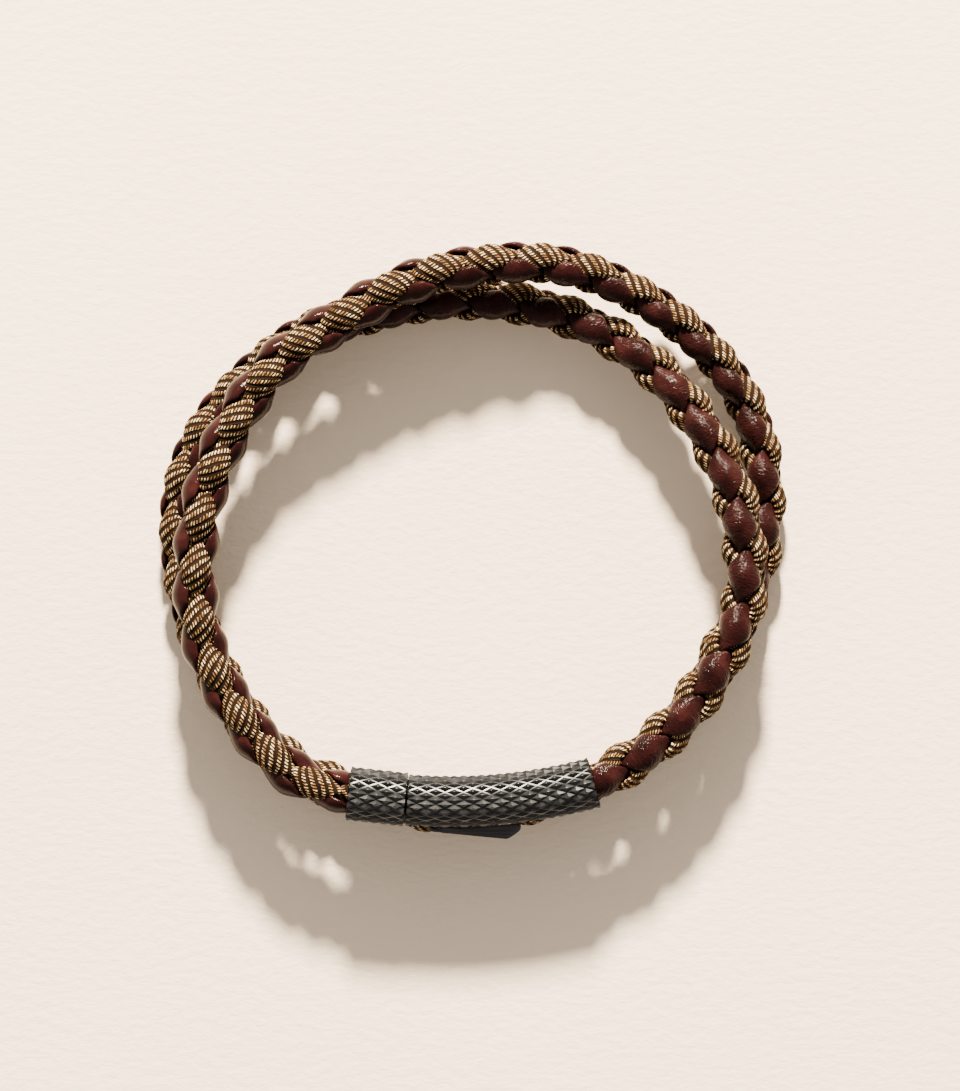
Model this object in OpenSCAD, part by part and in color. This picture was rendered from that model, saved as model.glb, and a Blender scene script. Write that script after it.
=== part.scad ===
/* [Wrap] */
// Width of the bracelet across both turns, outside to outside
wrap_w = 75.6; // [68:0.2:90]
// Depth of the bracelet from the clasp side to the far side
wrap_d = 71.2; // [64:0.2:86]
// Air between the lower and the upper turn where one lies on the other
turn_gap = 0.3; // [0.2:0.05:1.2]

/* [Braid] */
// Outer diameter of the round braid
braid_d = 5.72; // [5.2:0.02:6]
// Thickness of one strand
strand_t = 1.13; // [1:0.01:1.25]
// Width of one strand where it lies on the outside of the braid
strand_w = 3; // [2.4:0.05:3.1]
// Share of its width that a strand keeps on its way through the braid
strand_narrow = 0.8; // [0.7:0.02:0.9]
// Length of braid in which one strand goes once all the way round
braid_turn = 12.4; // [11:0.1:15]
// Place along its turn at which the first strand leaves the short sleeve
braid_start = 45; // [0:45:315]

/* [Sleeves] */
// Outer diameter of the short sleeve
short_d = 6.5; // [6.2:0.05:7.5]
// Length of the short sleeve
short_len = 6.95; // [6.6:0.05:10]
// Outer diameter of the long sleeve
long_d = 6.2; // [6.1:0.05:7.2]
// Length of the long sleeve along its curve
long_len = 22.6; // [20:0.1:26]
// Angle through which the long sleeve curves
long_bend = 19.4; // [8:0.2:26]
// Wall of both sleeves
sleeve_wall = 0.5; // [0.35:0.05:0.6]
// Slit between the two closed sleeves
seam = 0.12; // [0.08:0.02:0.4]
// Length of braid held inside each sleeve
grip = 3.6; // [2:0.1:3.8]
// Air between the closed clasp and the braid below it
clasp_gap = 0.25; // [0.15:0.05:1]
// Air round the braid where a sleeve holds it
hold_fit = 0.05; // [0.02:0.01:0.1]

/* [Coupling post] */
// Air between the coupling post and the bore it fills
post_fit = 0.2; // [0.18:0.02:0.4]
// Length of the coupling post inside the short sleeve
post_in_short = 2.6; // [1:0.1:2.8]
// Length of the coupling post inside the long sleeve
post_in_long = 3; // [1.5:0.1:3.5]

/* [Lever] */
// Distance from the seam to the lever's hinge pin, along the clasp
hinge_from_seam = 3.4; // [1.2:0.1:4]
// Length of the lever from its hinge pin to its free end
lever_len = 10.3; // [8:0.1:16]
// Height of the lever
lever_h = 2.9; // [2:0.1:3.2]
// Thickness of the lever beside its hinge
lever_root_t = 0.55; // [0.45:0.05:1]
// Thickness of the lever at its free end
lever_tip_t = 1.65; // [1:0.05:2.2]
// Length of the chamfer on the lever's free end
lever_chamfer = 1.5; // [0.4:0.1:2]
// Air between the closed lever and the long sleeve
lever_gap = 0.12; // [0.08:0.02:0.4]
// Diameter of the hinge pin
pin_d = 0.8; // [0.6:0.05:1]
// Air round the hinge pin in the lever's eye
pin_fit = 0.08; // [0.05:0.01:0.15]
// Wall of the lever's eye round its hole
eye_wall = 0.36; // [0.3:0.02:0.6]
// Height of the lever's eye
eye_h = 0.8; // [0.4:0.02:0.85]
// Distance of the hinge pin's middle inside the long sleeve's outline
pin_inside = 0.15; // [0.1:0.01:0.3]
// Lip of the hinge pin's head round the pin
head_lip = 0.3; // [0.2:0.02:0.35]
// Height of the hinge pin's head
head_h = 0.25; // [0.2:0.01:0.3]

/* [Hidden] */
leather = [0.29, 0.12, 0.11];
textile = [0.52, 0.40, 0.24];
gunmetal = [0.36, 0.37, 0.38];
dark_metal = [0.14, 0.14, 0.15];

// Middle of a strand on the outside and on the inside of the round braid, the inner one
// as a share of the outer, and how far a strand leans while it goes through the braid
inner = 0.345;
lean = -22;
out_r = (braid_d - strand_t) / 2;
in_r = inner * out_r;
half_w = (wrap_w - braid_d) / 2;
half_d = (wrap_d - braid_d) / 2;
low_z = braid_d / 2;
rise = braid_d + turn_gap;
clasp_z = braid_d + clasp_gap + max(short_d, long_d) / 2;
bore_d = long_d - 2 * sleeve_wall;
short_bore_d = short_d - 2 * sleeve_wall;
// Girth of the braid where the sleeves hold it, as a share of its free girth
held = (min(bore_d, short_bore_d) - 2 * hold_fit) / braid_d;

// Middle of the seam as shares of the half width and the half depth, and the short
// sleeve's direction from the braid to the seam
seam_across = -0.224;
seam_back = -0.945;
short_aim = -6.4;
long_aim = -4.4;
seam_mid = [seam_across * half_w, seam_back * half_d];
function aim(a) = [cos(a), sin(a)];
short_end = seam_mid - (seam / 2) * aim(short_aim);
short_rim = short_end - short_len * aim(short_aim);
long_start = seam_mid + (seam / 2) * aim(long_aim);
long_r = long_len / long_bend * 180 / PI;
long_hub = long_start + long_r * [-sin(long_aim), cos(long_aim)];
// Point of the long sleeve's middle line at a distance from its seam end
function on_long(s) = let (a = long_aim - 90 + s / long_r * 180 / PI) long_hub + long_r * aim(a);

// The braid's route through both turns, clockwise from above. Each row holds: across
// as a share of the half width, back as a share of the half depth, level from 0 for the
// turn below to 1 for the turn above, the angle of the first leather column from straight
// up towards the outside, and the girth as a share of the free girth
route = [
    [-0.584, -0.869, 1, -97, 1], [-0.708, -0.755, 1, -97, 1],
    [-0.814, -0.606, 1, -97, 1], [-0.897, -0.437, 1, -97, 1],
    [-0.94, -0.254, 1, -97, 1], [-0.945, -0.063, 1, -97, 1],
    [-0.924, 0.128, 1, -97, 1], [-0.866, 0.315, 1, -97, 1],
    [-0.773, 0.502, 1, -94, 1], [-0.643, 0.673, 1, -90, 1],
    [-0.471, 0.792, 1, -84, 1], [-0.282, 0.913, 1, -74, 0.98],
    [-0.086, 0.983, 0.97, -62, 0.96], [0.113, 1.014, 0.88, -52, 0.94],
    [0.309, 1.007, 0.74, -45, 0.91], [0.488, 0.944, 0.56, -41, 0.89],
    [0.653, 0.845, 0.38, -39, 0.88], [0.794, 0.722, 0.22, -37, 0.88],
    [0.907, 0.575, 0.1, -31, 0.88], [0.979, 0.407, 0.02, -20, 0.9],
    [1.007, 0.223, 0, -6, 0.94], [1.002, 0.036, 0, 0, 0.98],
    [0.969, -0.144, 0, 0, 1], [0.904, -0.316, 0, 0, 1],
    [0.814, -0.503, 0, 0, 1], [0.718, -0.65, 0, 0, 1],
    [0.584, -0.782, 0, 0, 1], [0.426, -0.885, 0, 0, 1],
    [0.251, -0.948, 0, 0, 1], [0.065, -0.982, 0, 0, 1],
    [-0.12, -0.99, 0, 0, 1], [-0.299, -0.96, 0, 0, 1],
    [-0.471, -0.905, 0, -2, 1], [-0.622, -0.828, 0, -3, 1],
    [-0.749, -0.698, 0, -8, 1], [-0.849, -0.542, 0, -15, 1],
    [-0.929, -0.37, 0, -25, 1], [-0.98, -0.184, 0, -38, 1],
    [-1.003, 0.003, 0, -45, 1], [-0.993, 0.194, 0, -46, 1],
    [-0.932, 0.37, 0, -46, 1], [-0.834, 0.52, 0, -46, 1],
    [-0.701, 0.658, 0, -45, 1], [-0.553, 0.768, 0, -42, 1],
    [-0.385, 0.83, 0, -38, 0.98], [-0.203, 0.876, 0.01, -34, 0.97],
    [-0.027, 0.891, 0.02, -30, 0.96], [0.153, 0.875, 0.05, -25, 0.95],
    [0.323, 0.828, 0.12, -18, 0.95], [0.486, 0.746, 0.26, -14, 0.95],
    [0.631, 0.628, 0.44, -10, 0.96], [0.746, 0.484, 0.64, -9, 0.97],
    [0.838, 0.324, 0.83, -8, 0.98], [0.902, 0.15, 0.96, -10, 1],
    [0.933, -0.034, 1, -13, 1], [0.931, -0.221, 1, -14, 1],
    [0.876, -0.393, 1, -12, 1], [0.784, -0.559, 1, -5, 1],
    [0.667, -0.705, 1, 2, 1], [0.533, -0.815, 1, 5, 1]
];
short_in = short_rim + grip * aim(short_aim);
long_rim = on_long(long_len);
long_in = on_long(long_len - grip);
stops = concat(
    [[short_in.x, short_in.y, clasp_z, -97, held], [short_rim.x, short_rim.y, clasp_z, -97, held]],
    [for (r = route) [r[0] * half_w, r[1] * half_d, low_z + r[2] * rise, r[3], r[4]]],
    [[long_rim.x, long_rim.y, clasp_z, 6, held], [long_in.x, long_in.y, clasp_z, 6, held]]);
last = len(stops) - 1;

// Smooth curve through the stops: a cubic spline whose knots are moved so that it meets them
function stop(i) = i < 0 ? 2 * stops[0] - stops[1]
    : i > last ? 2 * stops[last] - stops[last - 1] : stops[i];
knots = [for (i = [-1:last + 1])
    i < 1 || i > last - 1 ? stop(i) : stop(i) - (stop(i - 1) - 2 * stop(i) + stop(i + 1)) / 6];
function knot(i) = knots[i + 1];
function span_of(u) = min(floor(u), last - 1);
function curve(u) = let (i = span_of(u), f = u - i)
    (pow(1 - f, 3) * knot(i - 1) + (3 * f * f * f - 6 * f * f + 4) * knot(i)
    + (-3 * f * f * f + 3 * f * f + 3 * f + 1) * knot(i + 1) + f * f * f * knot(i + 2)) / 6;
function curve_dir(u) = let (i = span_of(u), f = u - i)
    -pow(1 - f, 2) * knot(i - 1) + (3 * f * f - 4 * f) * knot(i)
    + (-3 * f * f + 2 * f + 1) * knot(i + 1) + f * f * knot(i + 2);
function xyz(p) = [p[0], p[1], p[2]];
function unit(v) = v / norm(v);

// Length along the route, so that the strands keep their pitch everywhere
per_span = 8;
fine = [for (k = [0:last * per_span]) xyz(curve(k / per_span))];
run = [for (k = 0, s = 0; k < len(fine); s = s + norm(fine[min(k + 1, len(fine) - 1)] - fine[k]),
    k = k + 1) s];
braid_len = run[len(run) - 1];
place = [for (k = [0:len(run) - 1]) [run[k], k / per_span]];

// Each strand has this many rings in a turn and this many sides
rings_per_turn = 8;
strand_sides = 7;
rings = round(braid_len / braid_turn * rings_per_turn);
turn_len = braid_len * rings_per_turn / rings;

// Frame of the braid at a length: middle, first leather column, textile column, girth, turn
function braid_at(s) =
    let (u = lookup(s, place), p = curve(u), t = unit(xyz(curve_dir(u))),
        n = unit(cross([0, 0, 1], t)), b = cross(t, n))
    [xyz(p), cos(p[3]) * b + sin(p[3]) * n, sin(p[3]) * b - cos(p[3]) * n, p[4],
        360 * s / turn_len + braid_start];

// Middle line of a strand: the leather winds one way and the textile the other, and each
// lies outside at its own two columns and inside at the other two
function strand_mid(s, leather_one, side) =
    let (f = braid_at(s), a = f[4])
    f[0] + side * f[3] * (leather_one ? out_r * cos(a) * f[1] + in_r * sin(a) * f[2]
        : -in_r * cos(a) * f[1] + out_r * sin(a) * f[2]);

// One section of a strand, square to its own direction, with its round face outwards
function strand_ring(s, leather_one, side) =
    let (f = braid_at(s), a = f[4], c = strand_mid(s, leather_one, side),
        d = unit(strand_mid(min(s + hold_fit, braid_len), leather_one, side)
            - strand_mid(max(s - hold_fit, 0), leather_one, side)),
        q = leather_one ? a + lean * sin(2 * a) : 180 - a - lean * sin(2 * a - 180),
        o = side * (cos(q) * f[1] + sin(q) * f[2]), out = unit(o - (o * d) * d),
        across = cross(d, out), slim = 1 - (1 - strand_narrow) * (1 - cos(4 * a)) / 2,
        hw = f[3] * strand_w / 2 * slim, ht = f[3] * strand_t / 2)
    [for (j = [0:strand_sides - 1]) let (v = 360 * j / strand_sides)
        c + hw * sin(v) * across + ht * cos(v) * out];

// One strand of one turn. The turns meet face to face at the ring halfway along the braid
halfway = round(rings / 2);
module strand(leather_one, side, from, to) {
    m = strand_sides;
    n = to - from;
    points = [for (k = [from:to]) each strand_ring(k * braid_len / rings, leather_one, side)];
    // The longer corner of each patch is folded outwards, which depends on the winding
    walls = [for (k = [0:n - 1], j = [0:m - 1]) let (a = k * m + j, b = k * m + (j + 1) % m)
        each (leather_one ? [[a, a + m, b], [b, a + m, b + m]]
            : [[a, b + m, b], [a, a + m, b + m]])];
    polyhedron(points, concat(walls, [[for (j = [0:m - 1]) j]],
        [[for (j = [m - 1:-1:0]) n * m + j]]));
}

module leather_1_turn_1() color(leather) strand(true, 1, 0, halfway);
module leather_1_turn_2() color(leather) strand(true, 1, halfway, rings);
module leather_2_turn_1() color(leather) strand(true, -1, 0, halfway);
module leather_2_turn_2() color(leather) strand(true, -1, halfway, rings);
module textile_1_turn_1() color(textile) strand(false, 1, 0, halfway);
module textile_1_turn_2() color(textile) strand(false, 1, halfway, rings);
module textile_2_turn_1() color(textile) strand(false, -1, 0, halfway);
module textile_2_turn_2() color(textile) strand(false, -1, halfway, rings);

// A tube that starts at a point and runs straight on in the plane of the clasp
module straight_rod(from, dir, length, d, bore = 0) {
    translate([from.x, from.y, clasp_z]) rotate([0, 0, dir]) rotate([0, 90, 0]) difference() {
        cylinder(h = length, d = d, $fn = 64);
        if (bore > 0) translate([0, 0, -length / 2]) cylinder(h = 2 * length, d = bore, $fn = 64);
    }
}

// A rod or tube along the long sleeve's curve, between two distances from the seam
module curved_rod(s0, s1, d, bore = 0) {
    to_deg = 180 / PI / long_r;
    translate([long_hub.x, long_hub.y, clasp_z])
        rotate_extrude(angle = (s1 - s0) * to_deg, start = long_aim - 90 + s0 * to_deg, $fn = 360)
            translate([long_r, 0]) difference() {
                circle(d = d, $fn = 64);
                if (bore > 0) circle(d = bore, $fn = 64);
            }
}

// Place of the hinge pin: below the long sleeve, just inside its outline from above
lever_aim = long_aim + hinge_from_seam / long_r * 180 / PI;
pin_out = long_d / 2 - pin_inside;
pin_mid = on_long(hinge_from_seam) - pin_out * [-sin(lever_aim), cos(lever_aim)];
lever_z = braid_d + clasp_gap / 2 + lever_gap;
pin_top = clasp_z - sqrt(pow(long_d / 2, 2) - pow(pin_out - pin_d / 2, 2)) + sleeve_wall / 2;
eye_d = pin_d + 2 * (pin_fit + eye_wall);
hub_y = pin_out + long_r;
lever_in_r = long_r + long_d / 2 + lever_gap;
// Inner face of the lever beside a point along it, seen from above with the pin at zero
function lever_face(x) = hub_y - sqrt(pow(lever_in_r, 2) - x * x);

module short_sleeve() color(gunmetal)
    straight_rod(short_rim, short_aim, short_len, short_d, short_bore_d);

module long_sleeve() color(gunmetal) {
    curved_rod(0, long_len, long_d, bore_d);
    translate([pin_mid.x, pin_mid.y, 0]) {
        translate([0, 0, lever_z - pin_fit]) cylinder(h = pin_top - lever_z + pin_fit, d = pin_d, $fn = 48);
        translate([0, 0, lever_z - pin_fit - head_h]) cylinder(h = head_h, d = pin_d + 2 * head_lip, $fn = 48);
    }
}

module coupling_post() color(gunmetal) {
    post_aim = (short_aim + long_aim) / 2;
    straight_rod(seam_mid - post_in_short * aim(post_aim), post_aim,
        post_in_short + post_in_long, min(bore_d, short_bore_d) - 2 * post_fit);
}

// The lever seen from above: it hugs the long sleeve and its outer face is straight
module lever_plan(from_x) {
    knee = lever_len - lever_chamfer;
    difference() {
        polygon([[from_x, long_d / 2], [from_x, lever_face(0) - lever_root_t],
            [knee, lever_face(knee) - lever_tip_t],
            [lever_len, lever_face(knee) - lever_tip_t + lever_chamfer * 0.75], [lever_len, long_d / 2]]);
        translate([0, hub_y]) circle(r = lever_in_r, $fn = 720);
    }
}

module lever() color(dark_metal) {
    translate([pin_mid.x, pin_mid.y, lever_z]) rotate([0, 0, lever_aim]) {
        difference() {
            union() {
                cylinder(h = eye_h, d = eye_d, $fn = 48);
                linear_extrude(eye_h) lever_plan(0);
            }
            translate([0, 0, -eye_h]) cylinder(h = 3 * eye_h, d = pin_d + 2 * pin_fit, $fn = 48);
        }
        linear_extrude(lever_h) lever_plan(eye_d / 2);
    }
}

leather_1_turn_1();
leather_1_turn_2();
leather_2_turn_1();
leather_2_turn_2();
textile_1_turn_1();
textile_1_turn_2();
textile_2_turn_1();
textile_2_turn_2();
short_sleeve();
long_sleeve();
coupling_post();
lever();
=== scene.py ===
# %% [markdown]
# # A leather wrap bracelet, dressed in Blender
# The real bracelet is ONE round braid of four laces, two of burgundy leather and two of ribbed
# brown and gold textile. It goes round the wrist twice, and both of its ends are held by a knurled
# gunmetal clasp with a small smooth lever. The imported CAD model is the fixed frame: every size here
# is the CAD model's own, so the dressed pieces land exactly where the solids are.

# %% Load the frame
import bpy, bmesh, math
import numpy as np
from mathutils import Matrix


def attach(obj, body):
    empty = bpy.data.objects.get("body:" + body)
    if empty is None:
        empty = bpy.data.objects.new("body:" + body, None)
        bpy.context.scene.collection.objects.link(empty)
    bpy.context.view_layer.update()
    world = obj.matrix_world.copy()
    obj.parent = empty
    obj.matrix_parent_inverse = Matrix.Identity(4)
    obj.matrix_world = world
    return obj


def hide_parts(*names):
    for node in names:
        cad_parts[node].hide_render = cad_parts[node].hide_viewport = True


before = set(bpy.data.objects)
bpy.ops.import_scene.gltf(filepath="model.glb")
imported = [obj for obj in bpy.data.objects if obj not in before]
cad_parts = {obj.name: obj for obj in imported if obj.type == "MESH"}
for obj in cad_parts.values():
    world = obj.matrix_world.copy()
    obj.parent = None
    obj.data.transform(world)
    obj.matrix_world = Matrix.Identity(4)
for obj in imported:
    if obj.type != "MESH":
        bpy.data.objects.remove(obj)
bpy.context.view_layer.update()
mm = 0.001

# %% [markdown]
# ## The camera
# The photograph looks straight down from a stand, through a long lens. One pixel is 0.12 mm of the
# bracelet at the height of its upper turn. From that and a working distance of 0.7 m the lens
# follows, so no number is tuned by eye. The bracelet's middle lies 8 pixels left of the picture's
# middle and 4.7 above it, which gives the camera's place.

# %% Camera
PIXEL = 0.12 * mm
picture_height, picture_middle, bracelet_middle = 1091, (480, 545.5), (472, 540.8)
camera_height, eye_level, sensor = 0.7, 6 * mm, 36
camera = bpy.data.objects.new("camera", bpy.data.cameras.new("camera"))
bpy.context.scene.collection.objects.link(camera)
camera.data.sensor_width = sensor
camera.data.lens = sensor / 2 / (picture_height * PIXEL / 2 / camera_height)
camera.location = ((picture_middle[0] - bracelet_middle[0]) * PIXEL,
                   (bracelet_middle[1] - picture_middle[1]) * PIXEL, eye_level + camera_height)
camera.data.clip_start, camera.data.clip_end = 0.01, 10
bpy.context.scene.camera = camera
print("lens", round(camera.data.lens, 1), "mm")

# %% [markdown]
# ## Small helpers
# Colours are written as the hex values that a designer reads off a swatch, and turned to linear
# light in one place. `add` puts in a node of any kind with its settings and links, and serves the
# materials and the Geometry Nodes alike. Its inputs come by name, or in the node's own order: for
# Map Range that is the value, the range it has and the range it gets. A whole node given as an
# input is linked from its first output in use. `new_material` starts a finish from the typical
# values of its shader.

# %% Colours and nodes
MATH, VECTOR, RAMP = "ShaderNodeMath", "ShaderNodeVectorMath", "ShaderNodeValToRGB"
NOISE, RANGE = "ShaderNodeTexNoise", "ShaderNodeMapRange"


def swatch(code):
    """A hex colour in linear light."""
    parts = [int(code[i:i + 2], 16) / 255 for i in (1, 3, 5)]
    return [c / 12.92 if c <= 0.04045 else ((c + 0.055) / 1.055) ** 2.4 for c in parts] + [1.0]


def add(tree, kind, inputs=(), stops=(), **settings):
    """One node of any kind, with its settings, a ramp's stops and its inputs."""
    made = tree.nodes.new(kind)
    for name, value in settings.items():
        setattr(made, name, value)
    for k, (place, code) in enumerate(stops):
        ramp = made.color_ramp.elements
        stop = ramp[k] if k < 2 else ramp.new(place)
        stop.position, stop.color = place, swatch(code)
    for name, value in inputs.items() if isinstance(inputs, dict) else enumerate(inputs):
        if isinstance(value, bpy.types.Node):
            value = next(output for output in value.outputs if output.enabled)
        if isinstance(value, bpy.types.NodeSocket):
            tree.links.new(value, made.inputs[name])
        else:
            made.inputs[name].default_value = value
    return made


def new_material(name, **shader):
    """A material with its node tree and its shader, set to the values given."""
    made = bpy.data.materials.new(name)
    made.use_nodes = True
    tree = made.node_tree
    surface = next(n for n in tree.nodes if n.type == "BSDF_PRINCIPLED")
    for title, value in shader.items():
        surface.inputs[title.replace("_", " ")].default_value = value
    return made, tree, surface


print("burgundy as linear light:", [round(c, 3) for c in swatch("#2a1312")])

# %% [markdown]
# ## The paper it lies on
# The surface is a heavy uncoated cream paper: matt, with a very fine felt texture. A plain plane
# would do for the shape, so all of its character is in a low bump, 1.8 mm apart one way and 1 mm
# the other, and in a faint cloud of two cream tones.

# %% Floor
FELT, CLOUD = (560.0, 980.0, 1.0), 14.0  # to the metre
paper, tree, surface = new_material("uncoated_cream_paper", Roughness=0.9)
where = add(tree, "ShaderNodeTexCoord").outputs["Object"]
fibres = add(tree, "ShaderNodeMapping", {"Vector": where, "Scale": FELT})
felt = add(tree, NOISE, {"Vector": fibres, "Scale": 1.0, "Detail": 4.0, "Roughness": 0.6})
cloud = add(tree, NOISE, {"Vector": where, "Scale": CLOUD, "Detail": 2.0})
tone = add(tree, RAMP, (cloud,), stops=[(0.3, "#f1e0cb"), (0.7, "#f5e5d2")])
bump = add(tree, "ShaderNodeBump", {"Height": felt, "Strength": 0.8, "Distance": 0.16 * mm})
tree.links.new(tone.outputs["Color"], surface.inputs["Base Color"])
tree.links.new(bump.outputs["Normal"], surface.inputs["Normal"])
reach = 1.5
corners = [(-reach, -reach, 0), (reach, -reach, 0), (reach, reach, 0), (-reach, reach, 0)]
sheet = bpy.data.meshes.new("paper")
sheet.from_pydata(corners, [], [(0, 1, 2, 3)])
sheet.materials.append(paper)
floor = bpy.data.objects.new("paper_floor", sheet)
bpy.context.scene.collection.objects.link(floor)
print("paper", 2 * reach, "m across")

# %% [markdown]
# ## Studio light
# One soft lamp stands behind the bracelet at the top of the picture, 31 degrees above the paper,
# which the shadows' length gives. Everything else is bounce from the room: its walls are pale and
# its ceiling is dark, and the walls are brighter on the lamp's side. So leather and metal that face
# the camera stay deep, and only their slopes pick up light.

# %% Light
lamp_across, lamp_power, lamp_distance, rise = 0.15, 185, 1.3, math.radians(31)
lamp = bpy.data.lights.new("window", "AREA")
lamp.shape, lamp.size, lamp.energy = "DISK", lamp_across, lamp_power
lamp.color = (1.0, 0.84, 0.64)
lamp_object = bpy.data.objects.new("window", lamp)
bpy.context.scene.collection.objects.link(lamp_object)
lamp_object.location = (0, lamp_distance * math.cos(rise), lamp_distance * math.sin(rise))
lamp_object.rotation_euler = (-(math.pi / 2 - rise), 0, 0)
room = bpy.data.worlds.new("room")
bpy.context.scene.world = room
room.use_nodes = True
tree = room.node_tree
facing = add(tree, "ShaderNodeTexCoord").outputs["Generated"]
way = add(tree, "ShaderNodeSeparateXYZ", (facing,)).outputs
walls = add(tree, RANGE, (way["Z"], 0.25, 0.95, 1.9, 0.3))  # pale walls, dark ceiling
lamp_side = add(tree, RANGE, (way["Y"], -0.8, 0.8, 0.7, 1.3))  # dim in front, bright behind
glow = add(tree, MATH, (walls, lamp_side), operation="MULTIPLY")
sky = next(n for n in tree.nodes if n.type == "BACKGROUND")
sky.inputs["Color"].default_value = swatch("#f3e7d9")
tree.links.new(glow.outputs[0], sky.inputs["Strength"])
print("lamp", round(math.degrees(rise)), "degrees above the paper")

# %% [markdown]
# ## The braid's route
# The route is the CAD source's own: both turns as one line, seen from above and clockwise. Each
# row holds across and back as shares of the half width and half depth, the level from 0 for the
# lower turn to 1 for the upper one, the angle of the first leather column from straight up, and
# the girth. The straight short sleeve and the curved long one carry on from its two ends. The
# sizes keep the names that they have there.

# %% Sizes and route, in millimetres
wrap_w, wrap_d, turn_gap, braid_d = 75.6, 71.2, 0.3, 5.72
strand_t, inner, lean = 1.13, 0.345, -22
braid_turn, braid_start, grip = 12.4, 45, 3.6
short_d, short_len, long_d, long_len, long_bend = 6.5, 6.95, 6.2, 22.6, 19.4
sleeve_wall, seam, clasp_gap, hold_fit = 0.5, 0.12, 0.25, 0.05
seam_across, seam_back, short_aim, long_aim = -0.224, -0.945, -6.4, -4.4
short_column, long_column = -97, 6  # the first leather column's angle inside each sleeve
route = [
    [-0.584, -0.869, 1, -97, 1], [-0.708, -0.755, 1, -97, 1],
    [-0.814, -0.606, 1, -97, 1], [-0.897, -0.437, 1, -97, 1],
    [-0.94, -0.254, 1, -97, 1], [-0.945, -0.063, 1, -97, 1],
    [-0.924, 0.128, 1, -97, 1], [-0.866, 0.315, 1, -97, 1],
    [-0.773, 0.502, 1, -94, 1], [-0.643, 0.673, 1, -90, 1],
    [-0.471, 0.792, 1, -84, 1], [-0.282, 0.913, 1, -74, 0.98],
    [-0.086, 0.983, 0.97, -62, 0.96], [0.113, 1.014, 0.88, -52, 0.94],
    [0.309, 1.007, 0.74, -45, 0.91], [0.488, 0.944, 0.56, -41, 0.89],
    [0.653, 0.845, 0.38, -39, 0.88], [0.794, 0.722, 0.22, -37, 0.88],
    [0.907, 0.575, 0.1, -31, 0.88], [0.979, 0.407, 0.02, -20, 0.9],
    [1.007, 0.223, 0, -6, 0.94], [1.002, 0.036, 0, 0, 0.98],
    [0.969, -0.144, 0, 0, 1], [0.904, -0.316, 0, 0, 1],
    [0.814, -0.503, 0, 0, 1], [0.718, -0.65, 0, 0, 1],
    [0.584, -0.782, 0, 0, 1], [0.426, -0.885, 0, 0, 1],
    [0.251, -0.948, 0, 0, 1], [0.065, -0.982, 0, 0, 1],
    [-0.12, -0.99, 0, 0, 1], [-0.299, -0.96, 0, 0, 1],
    [-0.471, -0.905, 0, -2, 1], [-0.622, -0.828, 0, -3, 1],
    [-0.749, -0.698, 0, -8, 1], [-0.849, -0.542, 0, -15, 1],
    [-0.929, -0.37, 0, -25, 1], [-0.98, -0.184, 0, -38, 1],
    [-1.003, 0.003, 0, -45, 1], [-0.993, 0.194, 0, -46, 1],
    [-0.932, 0.37, 0, -46, 1], [-0.834, 0.52, 0, -46, 1],
    [-0.701, 0.658, 0, -45, 1], [-0.553, 0.768, 0, -42, 1],
    [-0.385, 0.83, 0, -38, 0.98], [-0.203, 0.876, 0.01, -34, 0.97],
    [-0.027, 0.891, 0.02, -30, 0.96], [0.153, 0.875, 0.05, -25, 0.95],
    [0.323, 0.828, 0.12, -18, 0.95], [0.486, 0.746, 0.26, -14, 0.95],
    [0.631, 0.628, 0.44, -10, 0.96], [0.746, 0.484, 0.64, -9, 0.97],
    [0.838, 0.324, 0.83, -8, 0.98], [0.902, 0.15, 0.96, -10, 1],
    [0.933, -0.034, 1, -13, 1], [0.931, -0.221, 1, -14, 1],
    [0.876, -0.393, 1, -12, 1], [0.784, -0.559, 1, -5, 1],
    [0.667, -0.705, 1, 2, 1], [0.533, -0.815, 1, 5, 1]
]
half_w, half_d = (wrap_w - braid_d) / 2, (wrap_d - braid_d) / 2
clasp_z = braid_d + clasp_gap + max(short_d, long_d) / 2
held = (min(long_d, short_d) - 2 * sleeve_wall - 2 * hold_fit) / braid_d


def aim(degrees):
    """An arrow of length 1 in plan."""
    return np.array([math.cos(math.radians(degrees)), math.sin(math.radians(degrees))])


seam_mid = np.array([seam_across * half_w, seam_back * half_d])
short_rim = seam_mid - (seam / 2 + short_len) * aim(short_aim)
long_r = long_len / math.radians(long_bend)
long_hub = seam_mid + (seam / 2) * aim(long_aim) + long_r * aim(long_aim + 90)


def on_long(s):
    """The long sleeve's middle line, s millimetres from the seam."""
    return long_hub + long_r * aim(long_aim - 90 + math.degrees(s / long_r))


print(len(route), "rows of route, clasp", round(clasp_z, 2), "mm above the paper")

# %% [markdown]
# ## The curve through the rows
# A cubic spline whose knots are moved so that it meets the rows joins them smoothly. It is measured
# at once, so that the laces keep their pitch everywhere, and the pitch is set so that the braid
# has a whole number of eighths of a turn. `braid_at` gives the braid's middle, its two columns,
# its girth and how far it has turned, at any length.

# %% The curve and its frame
FINE, EIGHTHS = 8, 8  # measuring steps from row to row, and parts of a turn
stops = np.array(
    [[*(short_rim + grip * aim(short_aim)), clasp_z, short_column, held],
     [*short_rim, clasp_z, short_column, held]]
    + [[a * half_w, b * half_d, braid_d / 2 + c * (braid_d + turn_gap), d, e]
       for a, b, c, d, e in route]
    + [[*on_long(long_len), clasp_z, long_column, held],
       [*on_long(long_len - grip), clasp_z, long_column, held]])
spans = len(stops) - 1
around = np.vstack([2 * stops[0] - stops[1], stops, 2 * stops[-1] - stops[-2]])
knots = around.copy()
knots[2:-2] = around[2:-2] - (around[1:-3] - 2 * around[2:-2] + around[3:-1]) / 6


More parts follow.
